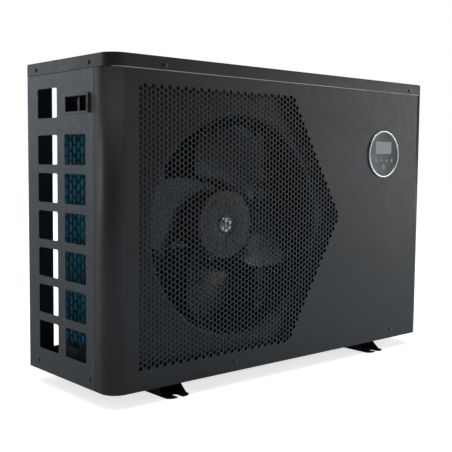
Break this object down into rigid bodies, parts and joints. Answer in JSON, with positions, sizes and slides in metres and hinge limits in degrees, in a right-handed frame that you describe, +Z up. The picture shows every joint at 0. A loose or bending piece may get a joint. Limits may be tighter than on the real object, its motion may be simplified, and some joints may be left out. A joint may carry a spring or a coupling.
{
  "type": "pool heat pump unit",
  "caption": "Outdoor pool heat pump: box casing, arrow-shaped hexagon perforation in front of an axial fan, side air openings, round controller, two feet, water unions.",
  "frame": {"origin": "on the ground, at the centre of the rectangle of the four anchor slots in the feet", "axes": "+X to the right seen from the front (the side of the water unions), +Y to the back, +Z up"},
  "size_m": [0.996, 0.3122, 0.65],
  "materials": {
    "paint_side": "satin",
    "paint_front": "satin",
    "black_steel": "satin",
    "black_plastic": "matte",
    "dark_plastic": "satin",
    "blue_fin": "satin",
    "copper": "satin",
    "galvanised": "satin",
    "pvc_grey": "satin",
    "rubber_black": "matte",
    "titanium": "satin",
    "brass": "satin",
    "board_green": "gloss",
    "terminal_white": "matte",
    "chrome_ring": "polished",
    "panel_black": "gloss",
    "lcd": "gloss"
  },
  "bodies": {
    "casing": {"base_pan": "black_steel", "foot_left": "black_steel", "foot_right": "black_steel", "front_panel": "paint_front", "left_side_panel": "paint_side", "right_side_panel": "paint_side", "rear_panel": "paint_side", "top_cover": "paint_front", "handle_left": "black_plastic", "handle_right": "black_plastic", "partition_plate": "galvanised", "fan_orifice": "dark_plastic", "orifice_screws": "galvanised", "motor_bracket": "galvanised", "motor_housing": "dark_plastic", "motor_screws": "galvanised", "evaporator_fins": "blue_fin", "evaporator_tubes": "copper", "evaporator_end_plates": "black_steel", "evaporator_net": "black_plastic", "coil_plinth": "black_plastic", "rear_coil_guard": "black_steel", "compressor": "black_steel", "compressor_grommets": "rubber_black", "compressor_bolts": "galvanised", "accumulator": "black_steel", "suction_pipe": "copper", "discharge_pipe": "copper", "four_way_valve": "brass", "valve_solenoid": "black_plastic", "evaporator_pipe": "copper", "condenser_pipe": "copper", "expansion_valve": "brass", "liquid_pipe_in": "copper", "liquid_pipe_out": "copper", "exchanger_shell": "pvc_grey", "titanium_coil": "titanium", "union_bodies": "pvc_grey", "union_gaskets": "rubber_black", "flow_switch_body": "black_plastic", "electrical_box": "galvanised", "electrical_box_lid": "galvanised", "inverter_board": "board_green", "heat_sink": "galvanised", "terminal_block": "terminal_white", "cable_gland": "black_plastic", "service_cover": "paint_side", "controller_bezel": "chrome_ring", "controller_body": "panel_black", "controller_display": "lcd", "drain_nozzle": "black_plastic", "cover_screws": "galvanised"},
    "fan": {"fan_shaft": "galvanised", "fan_impeller": "dark_plastic", "fan_nut": "galvanised"},
    "inlet_tail": {"inlet_union_tail": "pvc_grey"},
    "inlet_nut": {"inlet_union_nut": "black_plastic"},
    "outlet_tail": {"outlet_union_tail": "pvc_grey"},
    "outlet_nut": {"outlet_union_nut": "black_plastic"},
    "paddle": {"flow_paddle": "galvanised"}
  },
  "joints": [
    {"name": "fan_spin", "type": "hinge", "parent": "casing", "child": "fan", "pos_m": [-0.1335, -0.057, 0.326], "axis": [0, 1, 0], "continuous": true},
    {"name": "inlet_nut_turn", "type": "hinge", "parent": "inlet_tail", "child": "inlet_nut", "pos_m": [0.4875, 0.032, 0.14], "axis": [1, 0, 0], "range_deg": [0, 1080]},
    {"name": "inlet_tail_slide", "type": "slide", "parent": "casing", "child": "inlet_tail", "axis": [1, 0, 0], "range_m": [0, 0.0151]},
    {"name": "outlet_nut_turn", "type": "hinge", "parent": "outlet_tail", "child": "outlet_nut", "pos_m": [0.4875, 0.032, 0.42], "axis": [1, 0, 0], "range_deg": [0, 1080]},
    {"name": "outlet_tail_slide", "type": "slide", "parent": "casing", "child": "outlet_tail", "axis": [1, 0, 0], "range_m": [0, 0.0151]},
    {"name": "paddle_swing", "type": "hinge", "parent": "casing", "child": "paddle", "pos_m": [0.4265, 0.032, 0.16], "axis": [0, 1, 0], "range_deg": [0, 25], "stiffness_Nm_per_rad": 0.01}
  ],
  "couplings": [
    {"joint": "inlet_tail_slide", "follows": "inlet_nut_turn", "m_per_rad": 0.00079577},
    {"joint": "outlet_tail_slide", "follows": "outlet_nut_turn", "m_per_rad": 0.00079577}
  ]
}
